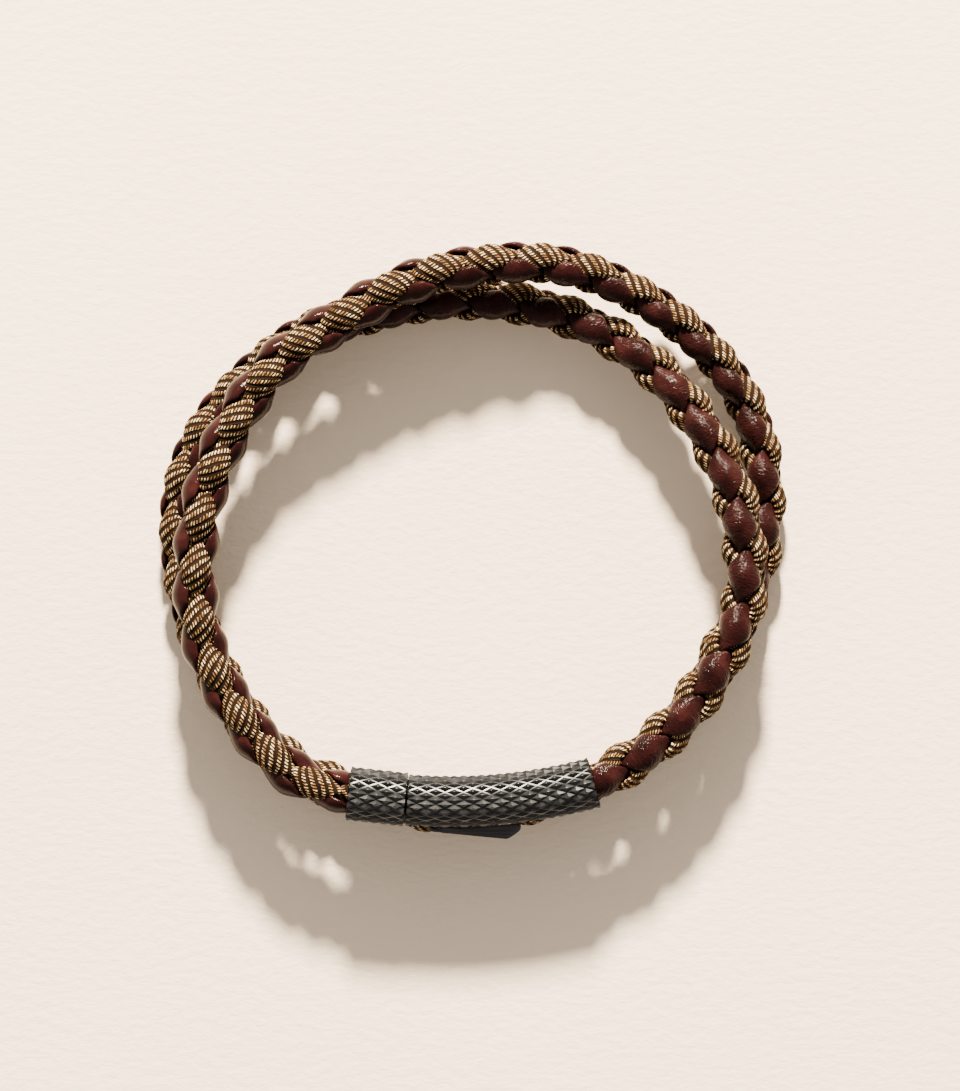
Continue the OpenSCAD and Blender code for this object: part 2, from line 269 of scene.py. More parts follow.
def curve(u):
    """The row at u, between two rows too, and the direction there."""
    i = np.minimum(u.astype(int), spans - 1)
    f = (u - i)[:, None]
    place = ((1 - f) ** 3 * knots[i] + (3 * f ** 3 - 6 * f * f + 4) * knots[i + 1]
             + (-3 * f ** 3 + 3 * f * f + 3 * f + 1) * knots[i + 2] + f ** 3 * knots[i + 3]) / 6
    ahead = (-(1 - f) ** 2 * knots[i] + (3 * f * f - 4 * f) * knots[i + 1]
             + (-3 * f * f + 2 * f + 1) * knots[i + 2] + f * f * knots[i + 3])
    return place, ahead[:, :3]


def unit(v):
    return v / np.linalg.norm(v, axis=1)[:, None]


def lengths(points):
    """How far along a row of points each one lies."""
    return np.concatenate([[0], np.cumsum(np.linalg.norm(np.diff(points, axis=0), axis=1))])


u_fine = np.arange(0, spans * FINE + 1) / FINE
run = lengths(curve(u_fine)[0][:, :3])
braid_len = run[-1]
turn_len = braid_len * EIGHTHS / round(braid_len / braid_turn * EIGHTHS)


def braid_at(s):
    """The braid's middle, two columns, girth and turn at a length of s."""
    place, ahead = curve(np.interp(s, run, u_fine))
    t = unit(ahead)
    n = unit(np.cross([0.0, 0.0, 1.0], t))
    b = np.cross(t, n)
    c = np.radians(place[:, 3:4])
    return (place[:, :3], np.cos(c) * b + np.sin(c) * n, np.sin(c) * b - np.cos(c) * n,
            place[:, 4:5], np.radians(360 * s / turn_len + braid_start)[:, None])


print("braid", round(braid_len, 1), "mm long, one turn every", round(turn_len, 2), "mm")

# %% [markdown]
# ## The path of one lace
# In a four-strand round braid the leather winds one way and the textile the other. Each lace lies
# on the outside at its own two columns and dives through the middle at the other two. A lace could
# be drawn by hand, but the braid follows one rule, so its rail is worked out and then walked in
# even steps. Each point keeps what the sweep needs: which way is out, across and ahead, and how
# wide and thick the lace is there. A lace is widest at its crown and narrows where it dives, which
# gives the leather its pointed almonds.

# %% Rail of a lace
WALK, LOOK = 12001, 0.05  # points that measure a lace, and millimetres to look ahead and back
LEATHER_NARROWS, TEXTILE_NARROWS = 0.5, 0.15
out_r = (braid_d - strand_t) / 2
in_r = inner * out_r


def lace_mid(s, leather, side):
    """A lace's middle: out_r out at its own columns, in_r out where it dives."""
    mid, e1, e2, girth, a = braid_at(s)
    if leather:
        return mid + side * girth * (out_r * np.cos(a) * e1 + in_r * np.sin(a) * e2)
    return mid + side * girth * (-in_r * np.cos(a) * e1 + out_r * np.sin(a) * e2)


def lace_rail(leather, side, step):
    """Even steps along a lace, with what the sweep needs at each."""
    s = np.linspace(0, braid_len, WALK)
    length = lengths(lace_mid(s, leather, side))
    along = np.linspace(0, length[-1], int(round(length[-1] / step)) + 1)
    s = np.interp(along, length, s)
    e1, e2, girth, a = braid_at(s)[1:]
    ahead = unit(lace_mid(np.minimum(s + LOOK, braid_len), leather, side)
                 - lace_mid(np.maximum(s - LOOK, 0), leather, side))
    tip = math.radians(lean)  # a lace tips as it goes over from column to column
    q = (a + tip * np.sin(2 * a) if leather
         else math.pi - a - tip * np.sin(2 * a - math.pi))
    out = side * (np.cos(q) * e1 + np.sin(q) * e2)
    out = unit(out - (out * ahead).sum(1)[:, None] * ahead)
    slim = (1 - LEATHER_NARROWS * np.sin(a) ** 2 if leather
            else 1 - TEXTILE_NARROWS * np.cos(a) ** 2)
    crown = np.cos(a) ** 2 if leather else np.sin(a) ** 2
    return {"place": lace_mid(s, leather, side), "out": out, "across": np.cross(ahead, out),
            "ahead": ahead, "girth": girth[:, 0], "slim": (girth * slim)[:, 0],
            "crown": crown[:, 0], "along": along}


print("a lace's middle runs", round(in_r, 2), "to", round(out_r, 2), "mm from the braid's")

# %% [markdown]
# ## Sweeping a lace along its rail
# Curve to Mesh carries a round section along the rail, and then each point is put where the rail's
# own directions say, which gives a lens-shaped lace that rolls as it crosses. Geometry Nodes suit
# this because the rule is the same at every point. The tree's sizes are named inputs, so that one
# tree serves the smooth leather and the ribbed textile.

# %% Geometry Nodes: the sweep's inputs and section
def open_tree(name, inputs):
    """A new tree, with the identifier of each named input."""
    tree = bpy.data.node_groups.new(name, "GeometryNodeTree")
    tree.interface.new_socket("Geometry", in_out="INPUT", socket_type="NodeSocketGeometry")
    tree.interface.new_socket("Geometry", in_out="OUTPUT", socket_type="NodeSocketGeometry")
    identifiers = {}
    for title, kind, value in inputs:
        made = tree.interface.new_socket(title, in_out="INPUT", socket_type="NodeSocket" + kind)
        if value is not None:
            made.default_value = value
        identifiers[title] = made.identifier
    return tree, identifiers


sweep, sweep_id = open_tree("sweep_lace", (
    ("Sides", "Int", 20), ("Half Width", "Float", 1.6 * mm),
    ("Outer Thickness", "Float", 0.6 * mm), ("Inner Thickness", "Float", 0.8 * mm),
    ("Rib Spacing", "Float", 1.0 * mm), ("Rib Depth", "Float", 0.0), ("Rib Slant", "Float", 0.0),
    ("Curl", "Float", 190.0), ("Fullness", "Float", 1.0), ("Material", "Material", None)))
given = add(sweep, "NodeGroupInput").outputs
spot = add(sweep, "GeometryNodeInputPosition")
rail = add(sweep, "GeometryNodeMeshToCurve", {"Mesh": given["Geometry"]})
ring = add(sweep, "GeometryNodeCurvePrimitiveCircle", {"Resolution": given["Sides"], "Radius": 1.0})
rail, ring = [
    add(sweep, "GeometryNodeStoreNamedAttribute", {"Geometry": line, "Name": name, "Value": spot},
        data_type="FLOAT_VECTOR", domain="POINT")
    for line, name in ((rail, "mid"), (ring, "section"))]
skin = add(sweep, "GeometryNodeCurveToMesh",
           {"Curve": rail, "Profile Curve": ring, "Fill Caps": True})
kept = {name: add(sweep, "GeometryNodeInputNamedAttribute", {"Name": name}, data_type=kind)
        for kind, names in (("FLOAT", ("along", "slim", "girth", "crown")),
                            ("FLOAT_VECTOR", ("mid", "section", "across", "out", "ahead")))
        for name in names}
part = add(sweep, "ShaderNodeSeparateXYZ", (kept["section"],)).outputs
print("sweep_lace takes", ", ".join(sweep_id))

# %% [markdown]
# ## The lace's section
# The section is drawn in between the ribs, most of all in a narrow valley, and their slant pushes
# its two sides forward and back. Fullness below 1 makes the lens boxier, as a stuffed strap is.
# Curl bends the lace's sides down round the braid at its crown, and grows with the square of the
# way from its middle: 184 lowers a side that is 2.2 mm out by 0.9 mm. Two patterns of nodes come
# back in the textile's finish, so they are functions.

# %% Geometry Nodes: ribs, fullness and curl
def zigzag(tree, value):
    """From 1 down to 0 and up again, each time that the value grows by 1."""
    phase = add(tree, MATH, (value,), operation="FRACT")
    swing = add(tree, MATH, (phase, 2.0, -1.0), operation="MULTIPLY_ADD")
    return add(tree, MATH, (swing,), operation="ABSOLUTE")


def boxy(tree, value, power):
    """A value's size to a power, with its own sign."""
    size = add(tree, MATH, (value,), operation="ABSOLUTE")
    size = add(tree, MATH, (size, power), operation="POWER")
    sign = add(tree, MATH, (value,), operation="SIGN")
    return add(tree, MATH, (sign, size), operation="MULTIPLY")


ribs = add(sweep, MATH, (kept["along"], given["Rib Spacing"]), operation="DIVIDE")
valley = add(sweep, MATH, (zigzag(sweep, ribs), 3.0), operation="POWER")
dip = add(sweep, MATH, (valley, given["Rib Depth"]), operation="MULTIPLY")
wide = add(sweep, MATH, (kept["slim"], given["Half Width"]), operation="MULTIPLY")
wide = add(sweep, MATH, (wide, dip), operation="SUBTRACT")
outer = add(sweep, MATH, (kept["girth"], given["Outer Thickness"]), operation="MULTIPLY")
outer = add(sweep, MATH, (outer, dip), operation="SUBTRACT")
inward = add(sweep, MATH, (kept["girth"], given["Inner Thickness"]), operation="MULTIPLY")
level = boxy(sweep, part["Y"], given["Fullness"])
above = add(sweep, MATH, (level, 0.0), operation="MAXIMUM")
above = add(sweep, MATH, (above, outer), operation="MULTIPLY")
below = add(sweep, MATH, (level, 0.0), operation="MINIMUM")
below = add(sweep, MATH, (below, inward), operation="MULTIPLY")
raised = add(sweep, MATH, (above, below), operation="ADD")
aside = add(sweep, MATH, (part["X"], wide), operation="MULTIPLY")
forward = add(sweep, MATH, (aside, given["Rib Slant"]), operation="MULTIPLY")
square = add(sweep, MATH, (aside, aside), operation="MULTIPLY")
bend = add(sweep, MATH, (kept["crown"], given["Curl"]), operation="MULTIPLY")
curl = add(sweep, MATH, (square, bend), operation="MULTIPLY")
raised = add(sweep, MATH, (raised, curl), operation="SUBTRACT")
print("section of", len(sweep.nodes), "nodes")

# %% [markdown]
# ## From rail to lace
# The three amounts are laid off along the rail's own directions. The result is realized, gets its
# material and becomes a plain mesh, so nothing of the tree is left on the finished piece.

# %% Geometry Nodes: the swept skin
target = kept["mid"]
for direction, amount in (("across", aside), ("out", raised), ("ahead", forward)):
    shift = add(sweep, VECTOR, {"Vector": kept[direction], "Scale": amount}, operation="SCALE")
    target = add(sweep, VECTOR, (target, shift), operation="ADD")
skin = add(sweep, "GeometryNodeSetPosition", {"Geometry": skin, "Position": target})
skin = add(sweep, "GeometryNodeSetShadeSmooth", {"Geometry": skin})
skin = add(sweep, "GeometryNodeRealizeInstances", {"Geometry": skin})
skin = add(sweep, "GeometryNodeSetMaterial", {"Geometry": skin, "Material": given["Material"]})
add(sweep, "NodeGroupOutput", {"Geometry": skin})


def grown(name, base, tree, values):
    """A plain mesh object of what a node tree makes from a base mesh."""
    holder = bpy.data.objects.new(name + "_base", base)
    bpy.context.scene.collection.objects.link(holder)
    modifier = holder.modifiers.new("grow", "NODES")
    modifier.node_group = tree
    for identifier, value in values.items():
        modifier[identifier] = value
    ready = holder.evaluated_get(bpy.context.evaluated_depsgraph_get())
    mesh = bpy.data.meshes.new_from_object(ready)
    mesh.name = name
    bpy.data.objects.remove(holder)
    made = bpy.data.objects.new(name, mesh)
    bpy.context.scene.collection.objects.link(made)
    return made


def lace(name, leather, side, step, **sizes):
    """A lace swept along its rail, with the sweep's sizes by name."""
    rail = lace_rail(leather, side, step)
    links = [(k, k + 1) for k in range(len(rail["place"]) - 1)]
    base = bpy.data.meshes.new(name + "_rail")
    base.from_pydata((rail["place"] * mm).tolist(), links, [])
    for key in ("out", "across", "ahead"):
        values = rail[key].astype(np.float32).ravel()
        base.attributes.new(key, "FLOAT_VECTOR", "POINT").data.foreach_set("vector", values)
    for key, scale in (("girth", 1), ("slim", 1), ("crown", 1), ("along", mm)):
        values = (rail[key] * scale).astype(np.float32)
        base.attributes.new(key, "FLOAT", "POINT").data.foreach_set("value", values)
    made = grown(name, base, sweep,
                 {sweep_id[title.replace("_", " ")]: value for title, value in sizes.items()})
    made.data.calc_loop_triangles()
    print(name, round(rail["along"][-1], 1), "mm of lace,",
          len(made.data.loop_triangles), "triangles")
    return made

# %% [markdown]
# ## Leather finish
# The laces are drum-dyed burgundy cowhide with a polished, lightly waxed grain. That gives a deep
# red-brown that goes nearly black in the folds, fine creases across the lace, and a clear but
# broken highlight. The grain is about 0.24 mm, and the creases follow the lace's own section and
# length, not the room. They are deeper on the right-hand side, where the leather is bent most.
# Leather's IOR is about 1.5, but little more than the thin wax shines here, so 1.15 matches it.

# %% Waxed burgundy leather
CREASES = (4500.0, 3.4, 1.4)  # 0.22 mm along the lace, 0.65 mm across it, 0.4 mm through it
GRAIN, MOTTLE = 4200.0, 420.0  # to the metre: 0.24 mm and 2.4 mm
leather_finish, tree, surface = new_material("waxed_burgundy_leather", Roughness=0.16, IOR=1.15)
where = add(tree, "ShaderNodeTexCoord").outputs["Object"]
along = add(tree, "ShaderNodeAttribute", attribute_name="along").outputs["Fac"]
section = add(tree, "ShaderNodeAttribute", attribute_name="section").outputs["Vector"]
part = add(tree, "ShaderNodeSeparateXYZ", (section,)).outputs
lay = add(tree, "ShaderNodeCombineXYZ",
          [add(tree, MATH, pair, operation="MULTIPLY")
           for pair in zip((along, part["X"], part["Y"]), CREASES)])
crease = add(tree, NOISE, {"Vector": lay, "Scale": 1.0, "Detail": 2.0, "Roughness": 0.45,
                           "Distortion": 0.8})
grain = add(tree, "ShaderNodeTexVoronoi", {"Vector": where, "Scale": GRAIN},
            feature="DISTANCE_TO_EDGE")
mottle = add(tree, NOISE, {"Vector": where, "Scale": MOTTLE, "Detail": 3.0})
colour = add(tree, RAMP, (mottle,), stops=[(0.3, "#120606"), (0.55, "#1e0b0b"), (0.75, "#2a1312")])
tree.links.new(colour.outputs["Color"], surface.inputs["Base Color"])
pebble = add(tree, MATH, (grain.outputs["Distance"], 0.25), operation="MINIMUM")
height = add(tree, MATH, (pebble, 0.2, crease), operation="MULTIPLY_ADD")
place = add(tree, "ShaderNodeSeparateXYZ", (where,)).outputs
bent = add(tree, RANGE, (place["X"], -12 * mm, 14 * mm, 0.22, 1.0))  # from left to right
height = add(tree, MATH, (height, bent), operation="MULTIPLY")
bump = add(tree, "ShaderNodeBump", {"Height": height, "Strength": 0.9, "Distance": 0.16 * mm})
tree.links.new(bump.outputs["Normal"], surface.inputs["Normal"])
shine = add(tree, RANGE, (crease, 0.3, 0.7, 0.08, 0.16))  # folds shine more than their tops
edge = add(tree, "ShaderNodeLayerWeight", {"Blend": 0.3}).outputs["Facing"]
gloss = add(tree, MATH, (edge, 0.15, shine), operation="MULTIPLY_ADD")
tree.links.new(gloss.outputs[0], surface.inputs["Roughness"])
print(leather_finish.name, "of", len(tree.nodes), "nodes")

# %% [markdown]
# ## Leather laces
# Each leather lace is a flat strap whose outer face swells into an almond between the places where
# it dives under the textile. Steps of 0.3 mm along and 24 sides keep every almond smooth.

# %% Leather laces
FACE, BACK = 0.56 * mm, 0.75 * mm  # how far every lace swells out and in
for number, side in ((1, 1), (2, -1)):
    piece = lace(f"leather_lace_{number}", True, side, 0.3, Sides=24, Half_Width=2.2 * mm,
                 Outer_Thickness=FACE, Inner_Thickness=BACK, Curl=184.0, Fullness=0.75,
                 Material=leather_finish)
    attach(piece, "bracelet")
    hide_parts(f"leather_{number}_turn_1", f"leather_{number}_turn_2")

# %% [markdown]
# ## Textile finish
# The other two laces are a ribbed passementerie cord: gold-tan yarn is wound over a dark brown
# core, so each rib is a row of tiny bright yarn turns 0.42 mm apart, and the dark core shows
# between the ribs, painted near black there as the shade in the grooves. The turns are counted
# round the lace's own section and lean from rib to rib, with the ribs' places taken from the
# length along it, so colour, bump and real ribs agree. Fine noise frays their edges, and a coarser
# one varies them from dull brown to pale gold. Yarn scatters light, so it is rough and has next to
# no gloss.

# %% Ribbed cord of gold-tan yarn
RIB, YARN, YARN_LEAN = 0.84, 0.42, -1.0  # rib and yarn spacing, and yarns that a rib moves on
CORD_HALF, CORD_EDGE, CORD_FULL = 1.98, 0.6, 0.5  # half width, way round an edge, fullness
FRAY, WORN = 2300.0, 1400.0  # to the metre: 0.43 mm and 0.71 mm
FRAY_ROWS, FRAY_TURNS = 0.6, 0.7  # how much a row's edge and a turn's place are frayed
textile_finish, tree, surface = new_material("gold_tan_wound_cord", Roughness=0.8,
                                             Specular_IOR_Level=0.05)
where = add(tree, "ShaderNodeTexCoord").outputs["Object"]
along = add(tree, "ShaderNodeAttribute", attribute_name="along").outputs["Fac"]
section = add(tree, "ShaderNodeAttribute", attribute_name="section").outputs["Vector"]
part = add(tree, "ShaderNodeSeparateXYZ", (section,)).outputs
fray = add(tree, NOISE, {"Vector": where, "Scale": FRAY, "Detail": 2.0})
ribs = add(tree, MATH, (along, RIB * mm), operation="DIVIDE")
crest = add(tree, MATH, (fray, FRAY_ROWS, zigzag(tree, ribs)), operation="MULTIPLY_ADD")
row = add(tree, RANGE, (crest, 0.87, 0.68))  # 1 on a row of yarn, 0 between two rows
level = boxy(tree, part["Y"], CORD_FULL)
edge = add(tree, MATH, (level, -CORD_EDGE / YARN, CORD_EDGE / YARN), operation="MULTIPLY_ADD")
width = add(tree, MATH, (part["X"],), operation="ABSOLUTE")
path = add(tree, MATH, (width, CORD_HALF / YARN, edge), operation="MULTIPLY_ADD")
half = add(tree, MATH, (part["X"],), operation="SIGN")
leaning = add(tree, MATH, (ribs, YARN_LEAN), operation="MULTIPLY")
turn = add(tree, MATH, (half, path, leaning), operation="MULTIPLY_ADD")
turn = add(tree, MATH, (fray, FRAY_TURNS, turn), operation="MULTIPLY_ADD")
strand = add(tree, RANGE, (zigzag(tree, turn), 0.5, 0.18))  # 1 on a turn, 0 between two
print(round(2 * (CORD_HALF + CORD_EDGE) / YARN, 1), "turns of yarn across the face of a rib")

# %% [markdown]
# ## The yarn's colour and relief
# Three browns make it up: the yarn's own, a painted shadow between two yarns, and the core between
# two rows, which is the darkest: partly the core's own brown and partly painted shade in the groove.
# The same two masks of rows and turns give the relief.

# %% Colour and relief of the cord
worn = add(tree, NOISE, {"Vector": where, "Scale": WORN, "Detail": 2.0})
light = add(tree, RAMP, (worn,), stops=[(0.36, "#5c4326"), (0.5, "#a07e51"), (0.62, "#f0dab0")])
# painted shadow: #20130a is the dark brown painted between two yarn turns
yarn = add(tree, "ShaderNodeMix", {"Factor": strand, 6: swatch("#20130a"), 7: light},
           data_type="RGBA")
# 150c06 is the core between two rows: its own dark brown, darkened further as painted shade in the
#                                      groove
colour = add(tree, "ShaderNodeMix", {"Factor": row, 6: swatch("#150c06"), 7: yarn},
             data_type="RGBA")
tree.links.new(colour.outputs[2], surface.inputs["Base Color"])
relief = add(tree, MATH, (strand, 0.5, 0.5), operation="MULTIPLY_ADD")
relief = add(tree, MATH, (row, relief), operation="MULTIPLY")
bump = add(tree, "ShaderNodeBump", {"Height": relief, "Strength": 0.9, "Distance": 0.15 * mm})
tree.links.new(bump.outputs["Normal"], surface.inputs["Normal"])
print(textile_finish.name, "of", len(tree.nodes), "nodes")

# %% [markdown]
# ## Textile laces
# The ribs are real: the section is drawn in by 0.2 mm between them and they lean about 16 degrees,
# as a wound cord's do. Six steps to a rib and 20 sides hold their shape.

# %% Textile laces
for number, side in ((1, 1), (2, -1)):
    piece = lace(f"textile_lace_{number}", False, side, RIB / 6, Sides=20,
                 Half_Width=CORD_HALF * mm, Outer_Thickness=FACE, Inner_Thickness=BACK, Curl=172.0,
                 Rib_Spacing=RIB * mm, Rib_Depth=0.2 * mm, Rib_Slant=0.28, Fullness=CORD_FULL,
                 Material=textile_finish)
    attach(piece, "bracelet")
    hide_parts(f"textile_{number}_turn_1", f"textile_{number}_turn_2")

# %% [markdown]
# ## Gunmetal finish
# The clasp is steel with a dark gunmetal coating, knurled before it was coated. The coat is worn
# brighter towards the diamonds' tops. The narrow ground between them is painted lighter, a painted
# highlight for the bright lines along the knurl, and the rims at the sleeves' ends are painted near
# black, a painted shade for the dark seam. A little scuffing breaks it up. It is a metal, so its IOR
# stays as it is.

# %% Knurled gunmetal
SCUFFS = 900.0  # to the metre: 1.1 mm
gunmetal, tree, surface = new_material("knurled_gunmetal", Metallic=1.0, Roughness=0.3)
where = add(tree, "ShaderNodeTexCoord").outputs["Object"]
# worn holds real wear on the pyramids' tops, near-black painted shade on the sleeves' ends and rims,
# and a lighter painted highlight on the tube's ground
worn = add(tree, "ShaderNodeAttribute", attribute_name="worn").outputs["Fac"]
scuff = add(tree, NOISE, {"Vector": where, "Scale": SCUFFS, "Detail": 3.0})
wear = add(tree, MATH, (worn, 0.9, -0.12), operation="MULTIPLY_ADD")
wear = add(tree, MATH, (scuff, 0.35, wear), operation="MULTIPLY_ADD")
colour = add(tree, RAMP, (wear,), stops=[(0.06, "#040404"), (0.2, "#191a1c"), (0.6, "#35373a"),
                                         (0.95, "#808285")])
tree.links.new(colour.outputs["Color"], surface.inputs["Base Color"])
gloss = add(tree, RANGE, (scuff, 0.0, 1.0, 0.28, 0.44))
tree.links.new(gloss.outputs["Result"], surface.inputs["Roughness"])
print(gunmetal.name, "of", len(tree.nodes), "nodes")

# %% [markdown]
# ## The lever's finish
# The lever has the same coat over fine lengthwise brushing, without the knurl: lines 0.19 mm apart
# that run for several millimetres, in two close greys, with only a trace of relief.

# %% Brushed dark gunmetal
BRUSHING = (150.0, 5200.0, 5200.0)  # lines to the metre: along the lever, across and up
dark_metal, tree, surface = new_material("brushed_dark_gunmetal", Metallic=1.0, Roughness=0.38)
where = add(tree, "ShaderNodeTexCoord").outputs["Object"]
brushed = add(tree, "ShaderNodeMapping", {"Vector": where, "Scale": BRUSHING})
lines = add(tree, NOISE, {"Vector": brushed, "Scale": 1.0, "Detail": 3.0})
colour = add(tree, RAMP, (lines,), stops=[(0.3, "#454649"), (0.7, "#57595c")])
tree.links.new(colour.outputs["Color"], surface.inputs["Base Color"])
bump = add(tree, "ShaderNodeBump", {"Height": lines, "Strength": 0.12, "Distance": 0.04 * mm})
tree.links.new(bump.outputs["Normal"], surface.inputs["Normal"])
print(dark_metal.name, "of", len(tree.nodes), "nodes")

# %% [markdown]
# ## Knurling
# A knurl is rolled into the metal by two wheels, which leaves rows of little four-sided pyramids
# with blunt tops, each row half a pyramid on from the last. One pyramid is modelled, a step larger
# at its foot so that it reaches into the tube below, and repeated with Geometry Nodes.

# %% One pyramid of the knurl
PROFILE = ((1, -0.1), (0.88, 0), (0.16, 0.92), (0.06, 1))  # half width and height, going up
SLOPE_WEAR, TOP_WEAR = 0.4, 0.2
shape = bmesh.new()
rings = [[shape.verts.new((x, 0, z)), shape.verts.new((0, x, z)),
          shape.verts.new((-x, 0, z)), shape.verts.new((0, -x, z))] for x, z in PROFILE]
for low, high in zip(rings, rings[1:]):
    for k in range(4):
        shape.faces.new((low[k], low[(k + 1) % 4], high[(k + 1) % 4], high[k]))
shape.faces.new(rings[-1])
shape.faces.new(rings[0][::-1])
pyramid = bpy.data.meshes.new("knurl_pyramid")
shape.to_mesh(pyramid)
shape.free()
wear = [SLOPE_WEAR + TOP_WEAR * max(0.0, v.co.z) for v in pyramid.vertices]
pyramid.attributes.new("worn", "FLOAT", "POINT").data.foreach_set("value", wear)
print("a pyramid of", len(pyramid.polygons), "faces")

# %% [markdown]
# ## Setting the pyramids out
# The pyramids stand on a flat grid, every second point of it left out like the black squares of a
# chessboard. Along the sheet they are counted in rows, and round it in shares of a full turn.

# %% Geometry Nodes: the knurl's grid
ROWS_AROUND = 36
knurl, knurl_id = open_tree("roll_knurl", (
    ("Length", "Float", 20 * mm), ("Rows Along", "Int", 20), ("Rows Around", "Int", ROWS_AROUND),
    ("Ground Radius", "Float", 2.8 * mm), ("Height", "Float", 0.3 * mm), ("Start", "Float", 0.0),
    ("Bend Radius", "Float", 60 * mm), ("Hub", "Vector", (0.0, 0.0, 0.0)),
    ("First Angle", "Float", 0.0), ("Material", "Material", None)))
given = add(knurl, "NodeGroupInput").outputs
row_x = add(knurl, MATH, (given["Length"], given["Rows Along"]), operation="DIVIDE")
row_a = add(knurl, MATH, (2 * math.pi, given["Rows Around"]), operation="DIVIDE")
size_y = add(knurl, MATH, (2 * math.pi, row_a), operation="SUBTRACT")
points_x = add(knurl, MATH, (given["Rows Along"], 1.0), operation="ADD")
grid = add(knurl, "GeometryNodeMeshGrid", {"Size X": given["Length"], "Size Y": size_y,
                                           "Vertices X": points_x,
                                           "Vertices Y": given["Rows Around"]})
at = add(knurl, "ShaderNodeSeparateXYZ", (add(knurl, "GeometryNodeInputPosition"),)).outputs
counts = []
for size, place, row in ((given["Length"], at["X"], row_x), (size_y, at["Y"], row_a)):
    from_end = add(knurl, MATH, (size, 0.5, place), operation="MULTIPLY_ADD")
    rows = add(knurl, MATH, (from_end, row), operation="DIVIDE")
    counts.append(add(knurl, MATH, (rows,), operation="ROUND"))
both = add(knurl, MATH, counts, operation="ADD")
between = add(knurl, MATH, (both, 2.0), operation="FLOORED_MODULO")
grid = add(knurl, "GeometryNodeDeleteGeometry", {"Geometry": grid, "Selection": between},
           domain="POINT")
grid = add(knurl, "GeometryNodeMeshToPoints", {"Mesh": grid})
cell = add(knurl, "ShaderNodeCombineXYZ", (row_x, row_a, given["Height"]))
field = add(knurl, "GeometryNodeInstanceOnPoints",
            {"Points": grid, "Instance": given["Geometry"], "Scale": cell})
field = add(knurl, "GeometryNodeRealizeInstances", {"Geometry": field})
print("roll_knurl takes", ", ".join(knurl_id))

# %% [markdown]
# ## Rolling the sheet up
# The sheet's rows are cut off level at its two ends, and then it is rolled into a tube and bent
# round the sleeve's hub. The short sleeve is the same sheet, with a bend so wide that it is
# straight.

# %% Geometry Nodes: the knurl's roll and bend
half = add(knurl, MATH, (given["Length"], 0.5), operation="MULTIPLY")
lowest = add(knurl, MATH, (half, -1.0), operation="MULTIPLY")
cut = add(knurl, "ShaderNodeClamp", (at["X"], lowest, half))
along = add(knurl, MATH, (cut, half), operation="ADD")
along = add(knurl, MATH, (along, given["Start"]), operation="ADD")
angle = add(knurl, MATH, (along, given["Bend Radius"]), operation="DIVIDE")
angle = add(knurl, MATH, (given["First Angle"], angle), operation="ADD")
radius = add(knurl, MATH, (given["Ground Radius"], at["Z"]), operation="ADD")
round_cos, round_sin = [add(knurl, MATH, (at["Y"],), operation=name) for name in ("COSINE", "SINE")]
bend_cos, bend_sin = [add(knurl, MATH, (angle,), operation=name) for name in ("COSINE", "SINE")]
arm = add(knurl, MATH, (radius, round_cos), operation="MULTIPLY")
arm = add(knurl, MATH, (given["Bend Radius"], arm), operation="ADD")
rolled = add(knurl, "ShaderNodeCombineXYZ",
             [add(knurl, MATH, pair, operation="MULTIPLY")
              for pair in ((arm, bend_cos), (arm, bend_sin), (radius, round_sin))])
rolled = add(knurl, VECTOR, (rolled, given["Hub"]), operation="ADD")
field = add(knurl, "GeometryNodeSetPosition", {"Geometry": field, "Position": rolled})
field = add(knurl, "GeometryNodeSetShadeSmooth", {"Geometry": field, "Shade Smooth": False})
field = add(knurl, "GeometryNodeSetMaterial", {"Geometry": field, "Material": given["Material"]})
add(knurl, "NodeGroupOutput", {"Geometry": field})
print("knurl of", len(knurl.nodes), "nodes")

# %% [markdown]
# ## The tube under the knurl
# Under its knurl each sleeve is a plain tube with small rims. It is lofted ring by ring along the
# same arc that the CAD sleeve follows, and closed on itself through its bore. Each ring carries a
# tone: near-black painted shade on the end faces and rims, and a lighter painted highlight on the
# ground and in the bore.

# %% Tube of a sleeve
RIM, RIM_HIGH, RIM_EDGE, RIM_FOOT = 0.14, 0.02, 0.05, 0.08
GROUND_FROM, GROUND_RINGS, BORE_FROM, BORE_RINGS = 0.4, 24, 0.5, 12
# the end faces and rims get near-black painted shade, and the ground between the pyramids and the
# bore get a lighter painted highlight
TUBE_SIDES, PAINTED_SHADE_ENDS, PAINTED_SHINE, SHARP = 72, 0.0, 0.62, math.radians(35)


